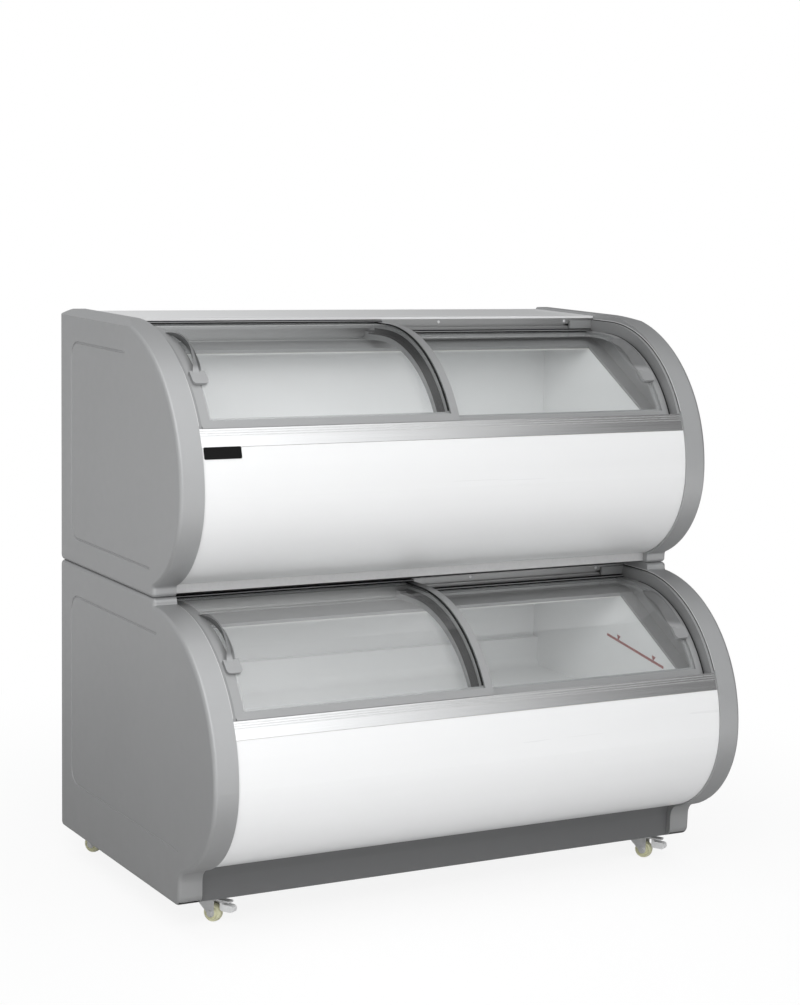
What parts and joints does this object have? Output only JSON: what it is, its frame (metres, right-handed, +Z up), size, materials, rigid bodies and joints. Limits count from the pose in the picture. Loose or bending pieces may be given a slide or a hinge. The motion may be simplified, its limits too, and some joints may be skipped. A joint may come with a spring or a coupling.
{
  "type": "display freezer",
  "caption": "Stacked-deck display freezer: rounded end panels, curved glass lids that slide on rails over insulated tubs, a machine compartment below and swivel casters.",
  "frame": {"origin": "on the floor under the middle of the overall box", "axes": "+X to the right seen from the front, +Y to the back, +Z up; the lids and front face -Y"},
  "size_m": [1.3, 0.832, 1.2455],
  "materials": {
    "grey_plastic": "satin moulding",
    "light_grey_plastic": "satin moulding",
    "collar_plastic": "satin moulding",
    "liner_plastic": "smooth white",
    "foam": "rigid foam",
    "white_paint": "satin white paint",
    "grey_paint": "satin paint",
    "dark_paint": "satin paint",
    "black_paint": "gloss paint",
    "back_steel": "galvanised",
    "aluminium": "satin anodised",
    "glass": "clear",
    "rubber": "matt",
    "copper": "drawn copper",
    "black_plastic": "matt",
    "zinc": "zinc plated",
    "cream_plastic": "smooth",
    "pedal_plastic": "smooth"
  },
  "bodies": {
    "cabinet": {"lower_left_end_panel": "grey_plastic", "lower_right_end_panel": "grey_plastic", "lower_front_panel": "white_paint", "lower_front_rail": "aluminium", "lower_rear_rail": "aluminium", "lower_side_rails": "collar_plastic", "lower_opening_collar": "collar_plastic", "lower_liner": "liner_plastic", "lower_insulation": "foam", "lower_back_panel": "back_steel", "upper_left_end_panel": "grey_plastic", "upper_right_end_panel": "grey_plastic", "upper_front_panel": "white_paint", "upper_front_rail": "aluminium", "upper_rear_rail": "aluminium", "upper_side_rails": "collar_plastic", "upper_opening_collar": "collar_plastic", "upper_liner": "liner_plastic", "upper_insulation": "foam", "upper_back_panel": "back_steel", "top_panel": "grey_paint", "plinth": "dark_paint", "rear_grille": "dark_paint", "base_tray": "back_steel", "fan_frame": "back_steel", "track_stops": "collar_plastic", "compressor": "black_paint", "compressor_mounts": "rubber", "condenser": "aluminium", "filter_drier": "copper", "refrigerant_lines": "copper", "evaporator_coils": "copper", "control_box": "black_plastic", "caster_plates": "zinc"},
    "lower_left_lid": {"lower_left_lid_frame": "light_grey_plastic", "lower_left_lid_glass": "glass", "lower_left_lid_handle": "light_grey_plastic", "lower_left_lid_seal": "rubber"},
    "lower_right_lid": {"lower_right_lid_frame": "light_grey_plastic", "lower_right_lid_glass": "glass", "lower_right_lid_handle": "light_grey_plastic"},
    "upper_left_lid": {"upper_left_lid_frame": "light_grey_plastic", "upper_left_lid_glass": "glass", "upper_left_lid_handle": "light_grey_plastic", "upper_left_lid_seal": "rubber"},
    "upper_right_lid": {"upper_right_lid_frame": "light_grey_plastic", "upper_right_lid_glass": "glass", "upper_right_lid_handle": "light_grey_plastic"},
    "fan": {"fan_rotor": "black_plastic"},
    "thermostat": {"thermostat_knob": "black_plastic"},
    "front_left_caster": {"front_left_caster_fork": "zinc"},
    "front_left_wheel": {"front_left_caster_wheel": "cream_plastic"},
    "front_left_brake": {"front_left_brake_pedal": "pedal_plastic"},
    "front_right_caster": {"front_right_caster_fork": "zinc"},
    "front_right_wheel": {"front_right_caster_wheel": "cream_plastic"},
    "front_right_brake": {"front_right_brake_pedal": "pedal_plastic"},
    "rear_left_caster": {"rear_left_caster_fork": "zinc"},
    "rear_left_wheel": {"rear_left_caster_wheel": "cream_plastic"},
    "rear_right_caster": {"rear_right_caster_fork": "zinc"},
    "rear_right_wheel": {"rear_right_caster_wheel": "cream_plastic"}
  },
  "joints": [
    {"name": "lower_left_lid_slide", "type": "slide", "parent": "cabinet", "child": "lower_left_lid", "axis": [1, 0, 0], "range_m": [0, 0.509]},
    {"name": "lower_right_lid_slide", "type": "slide", "parent": "cabinet", "child": "lower_right_lid", "axis": [1, 0, 0], "range_m": [-0.503, 0]},
    {"name": "upper_left_lid_slide", "type": "slide", "parent": "cabinet", "child": "upper_left_lid", "axis": [1, 0, 0], "range_m": [0, 0.509]},
    {"name": "upper_right_lid_slide", "type": "slide", "parent": "cabinet", "child": "upper_right_lid", "axis": [1, 0, 0], "range_m": [-0.503, 0]},
    {"name": "fan_spin", "type": "hinge", "parent": "cabinet", "child": "fan", "pos_m": [-0.188, 0.292, 0.1643], "axis": [0, 1, 0], "continuous": true},
    {"name": "thermostat_turn", "type": "hinge", "parent": "cabinet", "child": "thermostat", "pos_m": [0.478, 0.4075, 0.153], "axis": [0, 1, 0], "range_deg": [0, 270]},
    {"name": "front_left_swivel", "type": "hinge", "parent": "cabinet", "child": "front_left_caster", "pos_m": [-0.556, -0.159, 0.06], "axis": [0, 0, 1], "continuous": true},
    {"name": "front_left_roll", "type": "hinge", "parent": "front_left_caster", "child": "front_left_wheel", "pos_m": [-0.541, -0.18498, 0.02], "axis": [0.866, 0.5, 0], "continuous": true},
    {"name": "front_left_brake_lever", "type": "hinge", "parent": "front_left_caster", "child": "front_left_brake", "pos_m": [-0.541, -0.18498, 0.048], "axis": [-0.866, -0.5, 0], "range_deg": [0, 10]},
    {"name": "front_right_swivel", "type": "hinge", "parent": "cabinet", "child": "front_right_caster", "pos_m": [0.556, -0.159, 0.06], "axis": [0, 0, 1], "continuous": true},
    {"name": "front_right_roll", "type": "hinge", "parent": "front_right_caster", "child": "front_right_wheel", "pos_m": [0.571, -0.18498, 0.02], "axis": [0.866, 0.5, 0], "continuous": true},
    {"name": "front_right_brake_lever", "type": "hinge", "parent": "front_right_caster", "child": "front_right_brake", "pos_m": [0.571, -0.18498, 0.048], "axis": [-0.866, -0.5, 0], "range_deg": [0, 10]},
    {"name": "rear_left_swivel", "type": "hinge", "parent": "cabinet", "child": "rear_left_caster", "pos_m": [-0.57, 0.352, 0.06], "axis": [0, 0, 1], "continuous": true},
    {"name": "rear_left_roll", "type": "hinge", "parent": "rear_left_caster", "child": "rear_left_wheel", "pos_m": [-0.585, 0.37798, 0.02], "axis": [-0.866, -0.5, 0], "continuous": true},
    {"name": "rear_right_swivel", "type": "hinge", "parent": "cabinet", "child": "rear_right_caster", "pos_m": [0.57, 0.352, 0.06], "axis": [0, 0, 1], "continuous": true},
    {"name": "rear_right_roll", "type": "hinge", "parent": "rear_right_caster", "child": "rear_right_wheel", "pos_m": [0.555, 0.37798, 0.02], "axis": [-0.866, -0.5, 0], "continuous": true}
  ]
}
